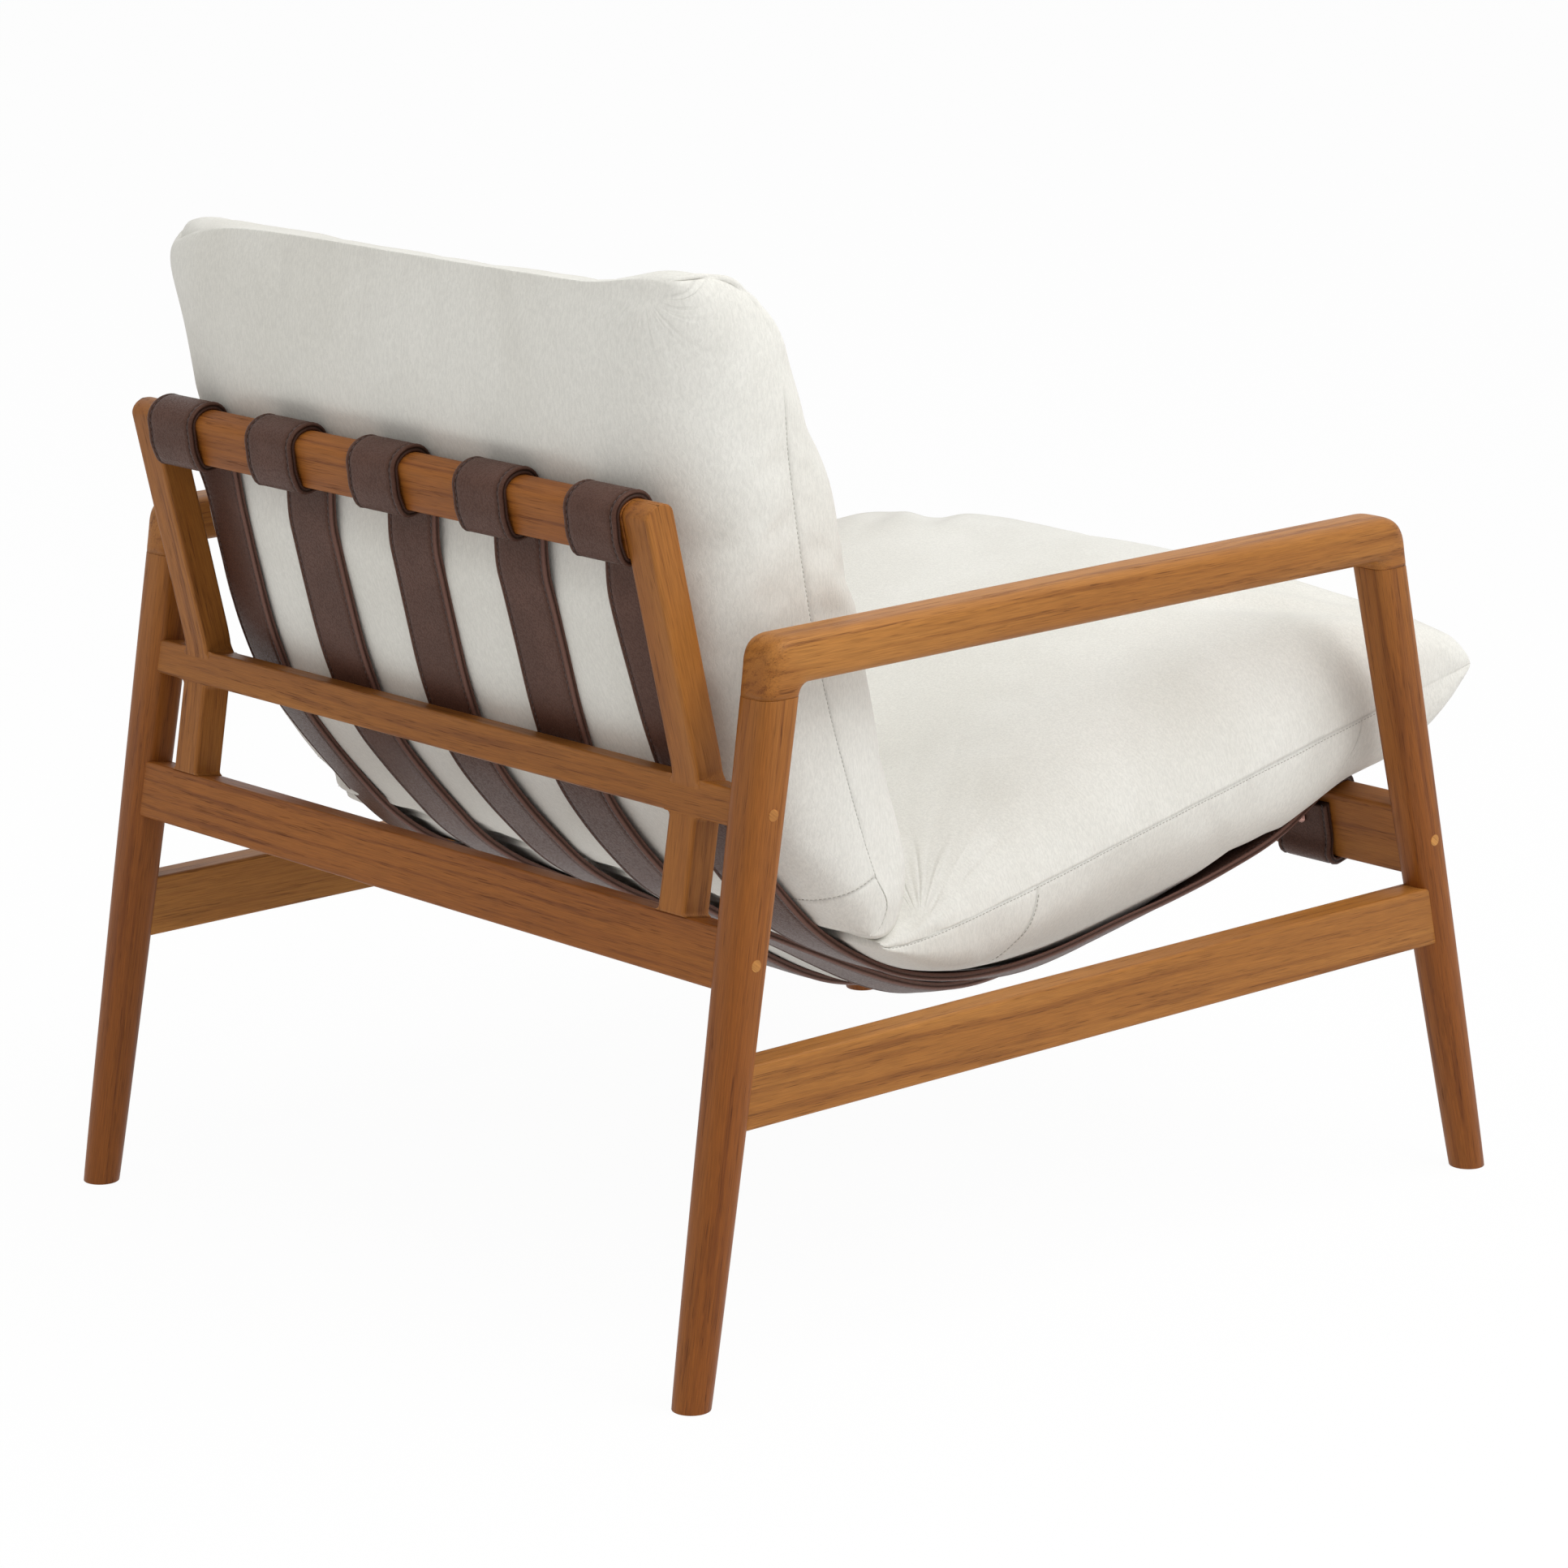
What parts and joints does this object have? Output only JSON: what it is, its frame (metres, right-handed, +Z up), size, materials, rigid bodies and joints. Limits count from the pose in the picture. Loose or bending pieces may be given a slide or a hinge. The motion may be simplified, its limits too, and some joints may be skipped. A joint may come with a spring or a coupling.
{
  "type": "sling lounge chair",
  "caption": "Low teak lounge chair with leather straps slung between two rails, open armrests, and loose seat and back cushions in pale cloth.",
  "frame": {"origin": "on the floor, under the middle of the chair's box", "axes": "+Z up, the seat faces -Y, +X is to the sitter's left"},
  "size_m": [0.7546, 0.8972, 0.8089],
  "materials": {
    "teak": "oiled, satin, straight grain with fine dark pores",
    "plug_teak": "oiled, satin, paler than the legs",
    "leather": "dark brown, fine pebble, soft sheen, stitched edges",
    "cloth": "off-white matte cloth with a fine crepe weave",
    "snap_copper": "copper brown, worn polish",
    "steel": "plain zinc-plated",
    "beech_dowel": "raw beech"
  },
  "bodies": {
    "frame": {"arm_dowel_front_left": "beech_dowel", "arm_dowel_front_right": "beech_dowel", "arm_dowel_rear_left": "beech_dowel", "arm_dowel_rear_right": "beech_dowel", "armrest_left": "teak", "armrest_right": "teak", "back_post_left": "teak", "back_post_right": "teak", "front_leg_left": "teak", "front_leg_right": "teak", "front_rail": "teak", "lower_rear_rail": "teak", "plug_front_left": "plug_teak", "plug_front_right": "plug_teak", "plug_lower_rear_left": "plug_teak", "plug_lower_rear_right": "plug_teak", "plug_upper_rear_left": "plug_teak", "plug_upper_rear_right": "plug_teak", "post_dowel_left": "beech_dowel", "post_dowel_right": "beech_dowel", "rear_leg_left": "teak", "rear_leg_right": "teak", "screw_front_left": "steel", "screw_front_right": "steel", "screw_lower_rear_left": "steel", "screw_lower_rear_right": "steel", "screw_upper_rear_left": "steel", "screw_upper_rear_right": "steel", "side_rail_left": "teak", "side_rail_right": "teak", "snap_cap_1": "snap_copper", "snap_cap_2": "snap_copper", "snap_cap_3": "snap_copper", "snap_cap_4": "snap_copper", "snap_cap_5": "snap_copper", "snap_stud_1": "steel", "snap_stud_2": "steel", "snap_stud_3": "steel", "snap_stud_4": "steel", "snap_stud_5": "steel", "strap_1": "leather", "strap_2": "leather", "strap_3": "leather", "strap_4": "leather", "strap_5": "leather", "top_rail": "teak", "top_rail_dowel_high_left": "beech_dowel", "top_rail_dowel_high_right": "beech_dowel", "top_rail_dowel_low_left": "beech_dowel", "top_rail_dowel_low_right": "beech_dowel", "upper_rear_rail": "teak"},
    "seat_cushion": {"seat_cushion": "cloth"},
    "back_cushion": {"back_cushion": "cloth"}
  },
  "joints": [
    {"name": "back_lift", "type": "slide", "parent": "frame", "child": "back_cushion", "axis": [0, 0, 1], "range_m": [0, 0.36]},
    {"name": "seat_lift", "type": "slide", "parent": "frame", "child": "seat_cushion", "axis": [0, 0, 1], "range_m": [0, 0.18]}
  ],
  "couplings": [
    {"joint": "seat_lift", "follows": "back_lift", "ratio": 0.5}
  ]
}
